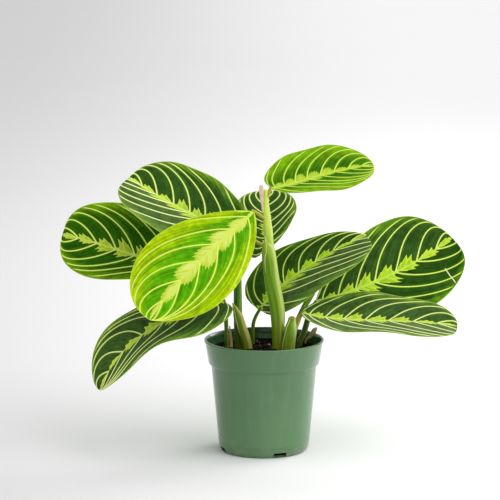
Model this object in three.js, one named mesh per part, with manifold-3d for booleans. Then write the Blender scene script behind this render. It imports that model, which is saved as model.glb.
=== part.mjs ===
// A prayer plant (maranta) with patterned leaves, growing in a plastic nursery pot.
// Millimetres, +Z up, +X to the right and the front towards -Y. The origin is the middle of the pot's base.
import * as THREE from "three";
import { mergeVertices } from "three/addons/utils/BufferGeometryUtils.js";
import Module from "manifold-3d";

const wasm = await Module();
wasm.setup();

// Driving dimensions of the pot and the soil
const POT_HEIGHT = 96;
const POT_BASE_RADIUS = 38.5;
const POT_BODY_RADIUS = 45.2;
const POT_RIM_RADIUS = 50.2;
const POT_LIP_RADIUS = 51;
const RIM_BAND_HEIGHT = 21;
const RIM_STEP = 2.2; // how far the rim band stands out from the body below it
const FOOT_CHAMFER = [2, 4]; // inwards, upwards
const POT_WALL = 1.2;
const POT_FLOOR = 1.5;
const POT_SIDES = 48;
const DRAIN_HOLES = 4;
const DRAIN_HOLE_ANGLE = 21; // from the front towards +X
const DRAIN_HOLE_SIZE = [12.6, 8, 3.6]; // along the rim, through the wall, upwards
const DRAIN_HOLE_FOOT = 0.8;
const SOIL_LEVEL = 86.5;
const SOIL_MOUND = 1.6;
const SOIL_RINGS = 8;
// Each bump of the soil: its height, its waves per millimetre along x and y, and its start
const SOIL_BUMPS = [
  [0.45, 0.42, 0.37, 0.2], [0.45, 0.42, -0.37, 1], [0.6, 0.9, -0.5, 0], [0.35, 1.3, 1.1, 0],
];
const FIT_GAP = 0.3;
const SOCKET_GAP = 0.45;

// Driving dimensions of the leaves
const BLADE_THICKNESS = 0.8;
const RIB_DEPTH = 0.8;
const BASE_HALF_WIDTH = 1.2;
const TIP_HALF_WIDTH = 0.8;
const BLADE_STATIONS = 18;
const BLADE_COLUMNS = [-1, -0.72, -0.42, -0.14, 0, 0.14, 0.42, 0.72, 1];
const RIB_COLUMN = 0.14;
const LOBE_SHOULDER = 0.25; // share of the half width where the lobe has mostly risen
const LOBE_FADE = 7; // the lobe dies away towards the tip with this power
const WAVE_OFFSET = 2.1; // radians between the waves of the two margins

// Each leaf by its midrib from base to tip, the way its upper face looks at base and tip, and its two
// halves. right and left are as seen on the upper face with the tip up. half is the widest half width,
// shape the two exponents of the outline (base end, tip end), fold the rise in degrees at the rib and at
// the margin, and lobe how far the half reaches back past the stalk.
const LEAVES = {
  leaf_front_lime: {
    midrib: [[-9, -10, 208], [-39, -28, 182.5], [-71.5, -45, 153.5], [-95.5, -58, 124]],
    face: [[0, -0.95, 0.32], [0.1, -1, 0.25]],
    right: { half: 42.5, shape: [0.9, 0.54], fold: [-2, -20], lobe: 0 },
    left: { half: 37.5, shape: [0.78, 0.7], fold: [-2, -14], lobe: 0 },
    wave: { height: 1.5, cycles: 2, phase: 0 },
  },
  leaf_far_left: {
    midrib: [[-66, 8, 154], [-100.5, 16, 162], [-138, 28, 172], [-173.5, 40, 179]],
    face: [[0, -0.8, 0.6], [0, -0.85, 0.5]],
    right: { half: 43, shape: [0.4, 0.35], fold: [6, -4], lobe: 10 },
    left: { half: 31, shape: [1, 0.42], fold: [2, -10], lobe: 3 },
    wave: { height: 1.2, cycles: 2, phase: 0.1 },
  },
  leaf_upper_left: {
    midrib: [[-24, -2, 189], [-56.5, 6, 200.5], [-87, 14, 215.5], [-115, 24, 231.5]],
    face: [[0, -0.65, 0.75], [0, -0.6, 0.8]],
    right: { half: 40.5, shape: [0.45, 0.46], fold: [14, 8], lobe: 14 },
    left: { half: 36.5, shape: [0.3, 0.26], fold: [12, 6], lobe: 8 },
    wave: { height: 1.2, cycles: 2, phase: 0.6 },
  },
  leaf_back: {
    midrib: [[3, 12, 172], [2.5, 33, 186], [2.5, 56, 199], [3, 78, 211]],
    face: [[0, -0.7, 0.7], [0, -0.5, 0.9]],
    right: { half: 26, shape: [0.9, 0.43], fold: [8, 0], lobe: 8 },
    left: { half: 31, shape: [0.36, 0.46], fold: [8, 0], lobe: 16 },
    wave: { height: 1.2, cycles: 2, phase: 0.3 },
  },
  leaf_upper_right_lime: {
    midrib: [[5.5, -4, 226], [33.5, 2, 232.5], [63.5, 10, 239.5], [93, 18, 243]],
    face: [[0, -0.5, 0.85], [0, -0.5, 0.85]],
    right: { half: 28.5, shape: [0.9, 0.52], fold: [10, 6], lobe: 2.5 },
    left: { half: 32.5, shape: [0.42, 0.53], fold: [12, 8], lobe: 6 },
    wave: { height: 1.2, cycles: 2, phase: 0.5 },
  },
  leaf_centre_right: {
    midrib: [[-4, 18.5, 117.3], [22, 24.5, 142.3], [56.5, 29.5, 165], [88, 34, 180]],
    face: [[0, -0.55, 0.85], [0, -0.5, 0.85]],
    right: { half: 38.5, shape: [0.3, 0.21], fold: [16, 10], lobe: 0 },
    left: { half: 32, shape: [0.34, 0.82], fold: [12, 6], lobe: 0 },
    wave: { height: 1.2, cycles: 2, phase: 0.2 },
  },
  leaf_large_right: {
    midrib: [[44, 19, 124.5], [87, 33, 135.5], [130, 49, 153], [163, 62, 173]],
    face: [[0, -0.9, 0.44], [0, -0.9, 0.44]],
    right: { half: 43.5, shape: [0.34, 0.32], fold: [2, 0], lobe: 4 },
    left: { half: 44.5, shape: [0.85, 0.5], fold: [8, 5], lobe: 4 },
    wave: { height: 1.8, cycles: 2.5, phase: 0.7 },
  },
  leaf_low_right: {
    midrib: [[32.5, -2, 119], [72.5, -14, 115.5], [118.5, -24, 116], [163, -30, 113]],
    face: [[0, -0.4, 0.9], [0, -0.4, 0.9]],
    right: { half: 28, shape: [0.45, 0.22], fold: [12, 10], lobe: 0 },
    left: { half: 32.5, shape: [0.44, 0.53], fold: [14, 8], lobe: 0 },
    wave: { height: 2, cycles: 1.7, phase: 0.3 },
  },
  leaf_low_left: {
    midrib: [[-34, -10, 131], [-70, -20, 121], [-109, -32, 101], [-138.5, -43, 60.5]],
    face: [[0, -0.5, 0.85], [-0.5, -0.5, 0.7]],
    right: { half: 32.5, shape: [0.46, 0.54], fold: [10, 4], lobe: 12 },
    left: { half: 34, shape: [0.28, 0.6], fold: [10, 6], lobe: 4 },
    wave: { height: 4, cycles: 1.5, phase: 0.1 },
  },
};

// Each green stem or dry scale by its limbs. A limb is a row of stations, each x, y, z and then the half
// width across the view and the half depth. The limbs that start lowest stand in the soil.
const STEMS = {
  main_stem: [
    [[11, -6, 60, 4.4, 4], [11.5, -6, 90, 4.6, 4], [11.4, -6, 121, 6.2, 4.3], [7, -6, 146, 6.6, 4.2],
     [4.4, -6, 166, 6.2, 3.8], [3.6, -6.2, 174, 5.6, 3.4], [0.6, -7, 185, 0.8, 0.8]],
    [[7, -5.6, 150, 4.2, 3.2], [4.6, -5.4, 169, 4.4, 3.2], [3.6, -5, 187, 3.9, 3], [2, -5, 204, 3.3, 2.6],
     [1.5, -4.6, 214, 2.5, 2.2], [1.4, -4.4, 224, 1.8, 1.8]],
    [[15.4, -7, 62, 2.2, 2.4], [15.8, -7, 90, 2.3, 2.6], [15, -7, 110, 2.3, 2.4],
     [11.5, -6.6, 134, 0.7, 0.7]],
    [[1.5, -5, 199.5, 1.6, 1.6], [-3.8, -6.8, 204, 1.9, 1.9], [-7.9, -8.8, 207.1, 1.4, 1.4]],
    [[2, -5, 176, 1.7, 1.7], [-8, -4.2, 181.4, 1.7, 1.7], [-16, -3, 185.6, 1.7, 1.7],
     [-23.4, -2.1, 188.3, 1.3, 1.3]],
    [[1.6, -4.4, 217, 1.7, 1.7], [3.4, -4.2, 222, 1.7, 1.7], [4.6, -4, 225, 1.3, 1.3]],
    [[4.8, -4, 158, 2, 2], [4.5, 3, 166, 1.9, 1.9], [3.7, 8, 170, 1.7, 1.7], [3.1, 11, 171.4, 1.3, 1.3]],
  ],
  left_shoot: [
    [[-21, -4, 60, 3.4, 3.2], [-22, -4, 90, 3.5, 3.2], [-22.3, -2, 120, 3.6, 3.2],
     [-22.5, -0.5, 147, 3.4, 3]],
    [[-13, -9, 60, 4.4, 3.4], [-14.4, -9, 90, 4.4, 3.6], [-19.2, -8, 108, 4.1, 3.4],
     [-22, -7.4, 117, 4, 3], [-24.4, -6.6, 123, 2.4, 2], [-26.4, -6, 127.5, 0.8, 0.8]],
    [[-22.5, -0.8, 142, 2.8, 2.6], [-25, 1, 152, 2.4, 2.3], [-42, 6, 157, 1.8, 1.8],
     [-65, 7.7, 153.8, 1.3, 1.3]],
  ],
  petiole_low_left: [
    [[-30.5, -8, 60, 1.9, 1.9], [-31.5, -8, 90, 1.9, 1.9], [-32.2, -8.4, 110, 1.8, 1.8],
     [-32.6, -9, 123, 1.8, 1.8], [-33.6, -9.7, 129.4, 1.3, 1.3]],
  ],
  petiole_centre_right: [
    [[-10, 12, 60, 1.9, 1.9], [-10, 12, 90, 1.9, 1.9], [-9.2, 13.4, 105.5, 1.6, 1.6],
     [-7, 16.6, 112, 1.5, 1.5], [-4.4, 18.2, 116.5, 1.3, 1.3]],
  ],
  shoot_low_right: [
    [[19, -13, 60, 5.2, 4], [20.5, -13, 90, 5.6, 4.2], [22.6, -13, 106, 5.4, 4],
     [23.8, -12.4, 115.5, 3.4, 2.6]],
    [[23, -11, 98, 2.4, 2.4], [28, -7, 112, 2.6, 2.6], [31.4, -3.1, 117.1, 1.5, 1.5]],
  ],
  rolled_leaf: [
    [[20, -3, 60, 1.6, 1.6], [21, -3, 90, 1.6, 1.6], [24, -1, 103, 1.7, 1.7], [28.6, 5, 112.4, 2, 1.8],
     [37.6, 13, 126.8, 2.8, 2], [48, 17, 139.4, 0.6, 0.6]],
  ],
  petiole_large_right: [
    [[27.5, 3, 60, 2.6, 2.6], [30, 3, 90, 2.6, 2.6], [34, 8, 99, 2.6, 2.6], [38.2, 14, 112, 2.5, 2.5],
     [42.8, 18, 122.2, 1.4, 1.4]],
  ],
  dry_bract_right: [
    [[35.4, 15.5, 68, 0.8, 0.7], [35.8, 15.5, 90, 0.8, 0.7], [39.6, 16, 94.5, 1.7, 0.8],
     [43, 16, 99.5, 2.2, 0.8], [45.4, 16, 102.4, 0.8, 0.6]],
  ],
  dry_bract_left: [
    [[-27.7, -3, 68, 1.2, 0.8], [-27.9, -3, 90, 1.4, 0.8], [-28.6, -3.5, 100, 1.3, 0.8],
     [-29.4, -4, 108, 0.5, 0.5]],
  ],
  dry_sheath_top: [
    [[-1, -7.6, 206, 0.5, 0.5], [-1.4, -7.3, 211, 1, 0.6], [-2, -6.8, 218, 1.6, 0.6],
     [-2.4, -6.5, 225, 2.1, 0.6], [-2.6, -6.4, 229.5, 1.7, 0.5]],
  ],
};
const STEM_SIDES = 10;
const RINGS_PER_SPAN = 3;

const MATERIALS = {
  pot: { color: 0x5e8766, roughness: 0.45 },
  soil: { color: 0x2b211b, roughness: 0.95 },
  lime_leaf: { color: 0x7fc41c, roughness: 0.5 },
  dark_leaf: { color: 0x2c5a1e, roughness: 0.5 },
  stem: { color: 0x76a040, roughness: 0.5 },
  dark_stem: { color: 0x33661f, roughness: 0.5 },
  dry_scale: { color: 0xc9b083, roughness: 0.85 },
};

function meshFrom(name, geometry, look) {
  const material = new THREE.MeshStandardMaterial({ metalness: 0, ...MATERIALS[look] });
  const mesh = new THREE.Mesh(geometry, material);
  mesh.name = name;
  return mesh;
}

function geometryFrom(points, triangles) {
  const numbers = points.flatMap((point) => point.toArray());
  const geometry = new THREE.BufferGeometry();
  geometry.setAttribute("position", new THREE.Float32BufferAttribute(numbers, 3));
  geometry.setIndex(triangles);
  geometry.computeVertexNormals();
  return geometry;
}

function solidFrom(geometry) {
  const bare = new THREE.BufferGeometry();
  bare.setAttribute("position", geometry.getAttribute("position").clone());
  if (geometry.index) bare.setIndex(geometry.index.clone());
  const merged = mergeVertices(bare, 1e-4);
  return new wasm.Manifold(
    new wasm.Mesh({
      numProp: 3,
      vertProperties: merged.getAttribute("position").array,
      triVerts: new Uint32Array(merged.index.array),
    }),
  );
}

function geometryFromSolid(solid) {
  const mesh = solid.getMesh();
  const geometry = new THREE.BufferGeometry();
  geometry.setAttribute("position", new THREE.Float32BufferAttribute(mesh.vertProperties, 3));
  geometry.setIndex(Array.from(mesh.triVerts));
  geometry.computeVertexNormals();
  return geometry;
}

// The widest half width is reached between the two ends, nearer the end with the smaller exponent.
function outline(s, [baseEnd, tipEnd]) {
  const widest = baseEnd / (baseEnd + tipEnd);
  return (s / widest) ** baseEnd * ((1 - s) / (1 - widest)) ** tipEnd;
}

// A Bezier curve through four points, which lie at its start, thirds and end.
function curveThrough(stations) {
  const points = stations.map((p) => new THREE.Vector3(...p));
  const mix = (weights) =>
    points.reduce((sum, point, i) => sum.addScaledVector(point, weights[i]), new THREE.Vector3());
  const first = mix([-5 / 6, 3, -3 / 2, 1 / 3]);
  const second = mix([1 / 3, -3 / 2, 3, -5 / 6]);
  return new THREE.CubicBezierCurve3(points[0], first, second, points[3]);
}

// A point of the blade's middle surface: s runs from base to tip, t from the left margin (-1) to the
// right one (1).
function bladePoint(leaf, curve, s, t) {
  const centre = curve.getPointAt(s);
  const along = curve.getTangentAt(s);
  const base = new THREE.Vector3(...leaf.face[0]).normalize();
  const tip = new THREE.Vector3(...leaf.face[1]).normalize();
  const up = base.lerp(tip, s);
  up.addScaledVector(along, -up.dot(along)).normalize();
  const across = new THREE.Vector3().crossVectors(along, up);
  const side = t < 0 ? leaf.left : leaf.right;
  const leastHalf = THREE.MathUtils.lerp(BASE_HALF_WIDTH, TIP_HALF_WIDTH, s);
  const reach = Math.abs(t) * Math.max(side.half * outline(s, side.shape), leastHalf);
  const rise = THREE.MathUtils.lerp(side.fold[0], side.fold[1], reach / side.half / 2);
  const slope = THREE.MathUtils.degToRad(rise);
  const { height, cycles, phase } = leaf.wave;
  const turn = 2 * Math.PI * (cycles * s + phase) + (t < 0 ? WAVE_OFFSET : 0);
  const ripple = height * t * t * Math.sin(turn) * Math.sqrt(Math.sin(Math.PI * s));
  const shoulder = 1 - Math.exp(-((reach / (LOBE_SHOULDER * side.half)) ** 2));
  const back = side.lobe * shoulder * (1 - s) ** LOBE_FADE;
  return centre
    .addScaledVector(across, Math.sign(t) * reach * Math.cos(slope))
    .addScaledVector(up, reach * Math.sin(slope) + ripple)
    .addScaledVector(along, -back);
}

// A closed blade: both faces have the same grid, and a strip joins them round the margin.
function leafGeometry(leaf) {
  const curve = curveThrough(leaf.midrib);
  const columns = BLADE_COLUMNS;
  const rows = [];
  for (let i = 0; i <= BLADE_STATIONS; i++) rows.push((1 - Math.cos((Math.PI * i) / BLADE_STATIONS)) / 2);
  const middle = rows.map((s) => columns.map((t) => bladePoint(leaf, curve, s, t)));
  const faceUp = (i, j) => {
    const before = middle[Math.max(i - 1, 0)][j];
    const after = middle[Math.min(i + 1, rows.length - 1)][j];
    const left = middle[i][Math.max(j - 1, 0)];
    const right = middle[i][Math.min(j + 1, columns.length - 1)];
    const along = new THREE.Vector3().subVectors(after, before);
    return new THREE.Vector3().subVectors(right, left).cross(along).normalize();
  };
  const top = [];
  const under = [];
  rows.forEach((s, i) =>
    columns.forEach((t, j) => {
      const up = faceUp(i, j);
      const rib = RIB_DEPTH * Math.max(0, 1 - Math.abs(t) / RIB_COLUMN) * (1 - s);
      top.push(middle[i][j].clone().addScaledVector(up, BLADE_THICKNESS / 2));
      under.push(middle[i][j].clone().addScaledVector(up, -BLADE_THICKNESS / 2 - rib));
    }),
  );
  const count = columns.length;
  const offset = top.length;
  const triangles = [];
  for (let i = 0; i < rows.length - 1; i++)
    for (let j = 0; j < count - 1; j++) {
      const a = i * count + j;
      const [b, c, d] = [a + 1, a + count, a + count + 1];
      triangles.push(a, b, d, a, d, c);
      triangles.push(offset + a, offset + d, offset + b, offset + a, offset + c, offset + d);
    }
  const margin = [];
  for (let j = 0; j < count; j++) margin.push(j);
  for (let i = 1; i < rows.length; i++) margin.push(i * count + count - 1);
  for (let j = count - 2; j >= 0; j--) margin.push((rows.length - 1) * count + j);
  for (let i = rows.length - 2; i > 0; i--) margin.push(i * count);
  margin.forEach((a, k) => {
    const b = margin[(k + 1) % margin.length];
    triangles.push(a, offset + a, offset + b, a, offset + b, b);
  });
  return geometryFrom([...top, ...under], triangles);
}

// A limb is a closed tube with an oval section that changes from station to station.
function limbGeometry(stations) {
  const centres = stations.map(([x, y, z]) => new THREE.Vector3(x, y, z));
  const path = new THREE.CatmullRomCurve3(centres, false, "catmullrom", 0.5);
  const rings = (stations.length - 1) * RINGS_PER_SPAN;
  const depthways = new THREE.Vector3(0, 1, 0);
  const points = [];
  for (let k = 0; k <= rings; k++) {
    const centre = path.getPoint(k / rings);
    const along = path.getTangent(k / rings);
    const across = new THREE.Vector3().crossVectors(depthways, along).normalize();
    const deep = new THREE.Vector3().crossVectors(along, across);
    const span = Math.min(Math.floor(k / RINGS_PER_SPAN), stations.length - 2);
    const part = THREE.MathUtils.smoothstep(k / RINGS_PER_SPAN - span, 0, 1);
    const halfWidth = THREE.MathUtils.lerp(stations[span][3], stations[span + 1][3], part);
    const halfDepth = THREE.MathUtils.lerp(stations[span][4], stations[span + 1][4], part);
    for (let n = 0; n < STEM_SIDES; n++) {
      const angle = (2 * Math.PI * n) / STEM_SIDES;
      points.push(
        centre
          .clone()
          .addScaledVector(across, halfWidth * Math.cos(angle))
          .addScaledVector(deep, halfDepth * Math.sin(angle)),
      );
    }
  }
  const triangles = [];
  for (let k = 0; k < rings; k++)
    for (let n = 0; n < STEM_SIDES; n++) {
      const a = k * STEM_SIDES + n;
      const b = k * STEM_SIDES + ((n + 1) % STEM_SIDES);
      triangles.push(a, b, b + STEM_SIDES, a, b + STEM_SIDES, a + STEM_SIDES);
    }
  const last = rings * STEM_SIDES;
  for (let n = 1; n < STEM_SIDES - 1; n++) {
    triangles.push(0, n + 1, n);
    triangles.push(last, last + n, last + n + 1);
  }
  return geometryFrom(points, triangles);
}

function stemGeometry(limbs) {
  const solids = limbs.map((stations) => solidFrom(limbGeometry(stations)));
  return geometryFromSolid(solids.reduce((joined, limb) => joined.add(limb)));
}

// Outside of the pot from the axis to the lip, then down the inside to the axis again.
function potProfile() {
  const step = POT_HEIGHT - RIM_BAND_HEIGHT;
  const [footIn, footUp] = FOOT_CHAMFER;
  const points = [
    [0, 0], [POT_BASE_RADIUS - footIn, 0], [POT_BASE_RADIUS, footUp],
    [POT_BODY_RADIUS, step], [POT_BODY_RADIUS + RIM_STEP, step + 0.5],
    [POT_RIM_RADIUS, POT_HEIGHT - 2.5], [POT_LIP_RADIUS, POT_HEIGHT - 2], [POT_LIP_RADIUS, POT_HEIGHT],
    [POT_RIM_RADIUS - POT_WALL, POT_HEIGHT], ...innerWall(0).reverse(), [0, POT_FLOOR],
  ];
  return points.map(([radius, z]) => new THREE.Vector2(radius, z));
}

// The inside of the wall from the floor up to the rim. The gap moves it inwards, and its floor and ledge up.
function innerWall(gap) {
  const step = POT_HEIGHT - RIM_BAND_HEIGHT;
  const [footIn, footUp] = FOOT_CHAMFER;
  return [
    [POT_BASE_RADIUS - POT_WALL - footIn - gap, POT_FLOOR + gap],
    [POT_BASE_RADIUS - POT_WALL - gap, footUp + POT_WALL + gap],
    [POT_BODY_RADIUS - POT_WALL - gap, step + 0.5 + gap],
    [POT_BODY_RADIUS - POT_WALL + RIM_STEP - gap, step + 2 + gap],
    [POT_RIM_RADIUS - POT_WALL - gap, POT_HEIGHT - 4],
  ];
}

// A lathe turns round +Y, so its result is stood up along +Z.
function turned(profile, sides) {
  return new THREE.LatheGeometry(profile, sides).rotateX(Math.PI / 2);
}

function potGeometry() {
  let pot = solidFrom(turned(potProfile(), POT_SIDES));
  const [along, through, high] = DRAIN_HOLE_SIZE;
  for (let k = 0; k < DRAIN_HOLES; k++) {
    const angle = THREE.MathUtils.degToRad(DRAIN_HOLE_ANGLE - 90 + (360 * k) / DRAIN_HOLES);
    const hole = new THREE.BoxGeometry(through, along, high)
      .translate(POT_BASE_RADIUS, 0, DRAIN_HOLE_FOOT + high / 2)
      .rotateZ(angle);
    pot = pot.subtract(solidFrom(hole));
  }
  return geometryFromSolid(pot);
}

// Height of the crumbly surface at x, y, mounded a little away from the pot's wall at the radius edge.
function soilHeight(x, y, edge) {
  const mound = SOIL_MOUND * (1 - (Math.hypot(x, y) / edge) ** 2);
  const bumps = SOIL_BUMPS.map(([height, alongX, alongY, start]) =>
    height * Math.sin(alongX * x + alongY * y + start));
  return SOIL_LEVEL + mound + bumps.reduce((sum, bump) => sum + bump);
}

// The wall radius of the space inside the pot at a height, less the gap.
function innerRadius(z) {
  const wall = innerWall(FIT_GAP);
  const upper = wall.findIndex(([, height]) => height > z);
  const [[r0, z0], [r1, z1]] = [wall[upper - 1], wall[upper]];
  return r0 + ((r1 - r0) * (z - z0)) / (z1 - z0);
}

function soilGeometry() {
  const sides = POT_SIDES;
  const lowest = SOIL_BUMPS.reduce((level, [height]) => level - height, SOIL_LEVEL);
  const edge = innerRadius(lowest);
  const points = [new THREE.Vector3(0, 0, soilHeight(0, 0, edge))];
  const ringAt = (radius, heightAt) => {
    for (let n = 0; n < sides; n++) {
      const angle = (2 * Math.PI * n) / sides;
      const [x, y] = [radius * Math.cos(angle), radius * Math.sin(angle)];
      points.push(new THREE.Vector3(x, y, heightAt(x, y)));
    }
  };
  for (let k = 1; k <= SOIL_RINGS; k++) ringAt((edge * k) / SOIL_RINGS, (x, y) => soilHeight(x, y, edge));
  const wall = innerWall(FIT_GAP).filter(([, z]) => z < SOIL_LEVEL - 4);
  wall.reverse().forEach(([radius, z]) => ringAt(radius, () => z));
  points.push(new THREE.Vector3(0, 0, POT_FLOOR + FIT_GAP));
  const triangles = [];
  const bands = SOIL_RINGS + wall.length;
  for (let n = 0; n < sides; n++) {
    const next = (n + 1) % sides;
    triangles.push(0, 1 + n, 1 + next);
    for (let k = 0; k < bands - 1; k++) {
      const a = 1 + k * sides + n;
      const b = 1 + k * sides + next;
      triangles.push(a, a + sides, b + sides, a, b + sides, b);
    }
    const foot = 1 + (bands - 1) * sides;
    triangles.push(points.length - 1, foot + next, foot + n);
  }
  let soil = solidFrom(geometryFrom(points, triangles));
  for (const socket of sockets()) soil = soil.subtract(solidFrom(socket));
  return geometryFromSolid(soil);
}

// Plain holes in the soil, one round each limb that stands in it and a little wider and deeper than it.
function sockets() {
  const standing = Object.values(STEMS).flat().filter(([foot]) => foot[2] < SOIL_LEVEL);
  return standing.map((stations) => {
    const wider = stations.map(([x, y, z, halfWidth, halfDepth]) =>
      [x, y, z, halfWidth + SOCKET_GAP, halfDepth + SOCKET_GAP]);
    wider[0][2] -= SOCKET_GAP;
    return limbGeometry(wider);
  });
}

const plant = new THREE.Group();
plant.add(meshFrom("pot", potGeometry(), "pot"));
plant.add(meshFrom("soil", soilGeometry(), "soil"));
for (const [name, leaf] of Object.entries(LEAVES))
  plant.add(meshFrom(name, leafGeometry(leaf), name.endsWith("lime") ? "lime_leaf" : "dark_leaf"));
for (const [name, limbs] of Object.entries(STEMS)) {
  const dark = name.startsWith("petiole") || name === "left_shoot";
  const look = name.startsWith("dry") ? "dry_scale" : dark ? "dark_stem" : "stem";
  plant.add(meshFrom(name, stemGeometry(limbs), look));
}

export default plant;
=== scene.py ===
"""A potted prayer plant: fine leaves, stems, soil and pot over the solid part, with floor, light and camera.

Lengths are in millimetres, as in the part, and become metres where a mesh, a light or the camera is made.
Places and noise scales in a material are in metres. Colours are display colours in 0..255.
"""
import math
import random
from collections import namedtuple

import bmesh
import bpy
import numpy as np
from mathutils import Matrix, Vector, noise


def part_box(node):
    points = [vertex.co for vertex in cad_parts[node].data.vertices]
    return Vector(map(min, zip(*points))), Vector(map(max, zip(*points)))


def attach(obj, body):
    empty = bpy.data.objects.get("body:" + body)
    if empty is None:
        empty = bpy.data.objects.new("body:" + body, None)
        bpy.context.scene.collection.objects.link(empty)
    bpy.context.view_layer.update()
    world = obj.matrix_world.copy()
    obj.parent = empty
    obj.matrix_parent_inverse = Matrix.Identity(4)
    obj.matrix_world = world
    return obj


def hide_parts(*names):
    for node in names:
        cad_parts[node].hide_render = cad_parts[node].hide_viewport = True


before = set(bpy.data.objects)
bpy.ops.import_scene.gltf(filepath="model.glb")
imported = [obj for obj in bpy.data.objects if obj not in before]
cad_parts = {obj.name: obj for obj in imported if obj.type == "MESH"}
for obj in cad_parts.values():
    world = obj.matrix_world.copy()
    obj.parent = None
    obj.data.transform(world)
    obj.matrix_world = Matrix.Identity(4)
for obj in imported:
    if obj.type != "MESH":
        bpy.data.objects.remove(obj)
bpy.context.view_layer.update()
MM = 0.001
SEED = 7

# Driving dimensions of the pot and the soil, as in the part
POT_HEIGHT = 96
POT_BASE_RADIUS = 38.5
POT_BODY_RADIUS = 45.2
POT_RIM_RADIUS = 50.2
POT_LIP_RADIUS = 51
RIM_BAND_HEIGHT = 21
RIM_STEP = 2.2
FOOT_CHAMFER = (2, 4)
POT_WALL = 1.2
POT_FLOOR = 1.5
DRAIN_HOLES = 4
DRAIN_HOLE_ANGLE = 21
DRAIN_HOLE_SIZE = (12.6, 8, 3.6)
DRAIN_HOLE_FOOT = 0.8
SOIL_LEVEL = 86.5
SOIL_MOUND = 1.6
SOIL_RADIUS = 47.6

# The blade's outline, lobes and wave, as in the part
BASE_HALF_WIDTH = 1.2
TIP_HALF_WIDTH = 0.8
LOBE_SHOULDER = 0.25
LOBE_FADE = 7
WAVE_OFFSET = 2.1

# What the fine blade adds: its thickness, rib, raised veins and the quilting between them
HALF_THICKNESS = 0.2
MARGIN_HALF_THICKNESS = 0.08
RIB_DEPTH = 0.9
RIB_HALF_WIDTH = 1.3
RIB_TAPER = 0.8
RIB_CHANNEL = 0.22
CHANNEL_HALF_WIDTH = 1.1
VEIN_RIDGE = 0.2
VEIN_GROOVE = 0.07
VEIN_HALF_WIDTH = 0.45
QUILT_SHARE = 0.04  # height of a bulge as a share of the space between two veins
QUILT_LIMIT = 0.6
VEIN_SPREAD = (10, -6.5, 3.4)  # vein numbers grow with these shares of the place's first three powers
VEIN_WANDER = 0.006  # how far a vein strays, as a share of the midrib
LEAN_POWER = 2.5  # how soon beyond the stalk the veins lean
FAN_NUMBERS = 1.4  # vein numbers in the fan at the stalk
FAN_REACH = 0.15
TIP_SOFTNESS = 3  # how late a row slows down as it nears the tip
MARGIN_STEP = 0.025  # longest step between two rows along the margin, as a share of the midrib
LEAST_STEP = 0.002  # shortest step between two rows, in vein numbers
NORMAL_STEP = 0.004  # share of the blade over which its slope is measured
ROWS_BETWEEN_VEINS = (0, 0.03, 0.07, 0.14, 0.24, 0.36, 0.5, 0.64, 0.76, 0.86, 0.93, 0.97)
COLUMNS = np.concatenate([
    (0, 0.012, 0.026, 0.042, 0.062, 0.088), np.linspace(0.12, 0.96, 22), (0.98, 0.992, 1)])

# A half of a leaf as in the part: half width, the two exponents of its outline, its rise in degrees at rib
# and margin, and its lobe behind the stalk. sweep says how its veins run: how far they lean towards the tip
# as they leave the rib, how far they bend on near the margin, the power of that bend, and the share of the
# midrib over which it grows. The last field is the share of grey on it that is painted sheen, standing in for
# the velvet sheen of a leaf seen from the side.
Half = namedtuple("Half", "half_width shape fold lobe sweep haze")

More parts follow.
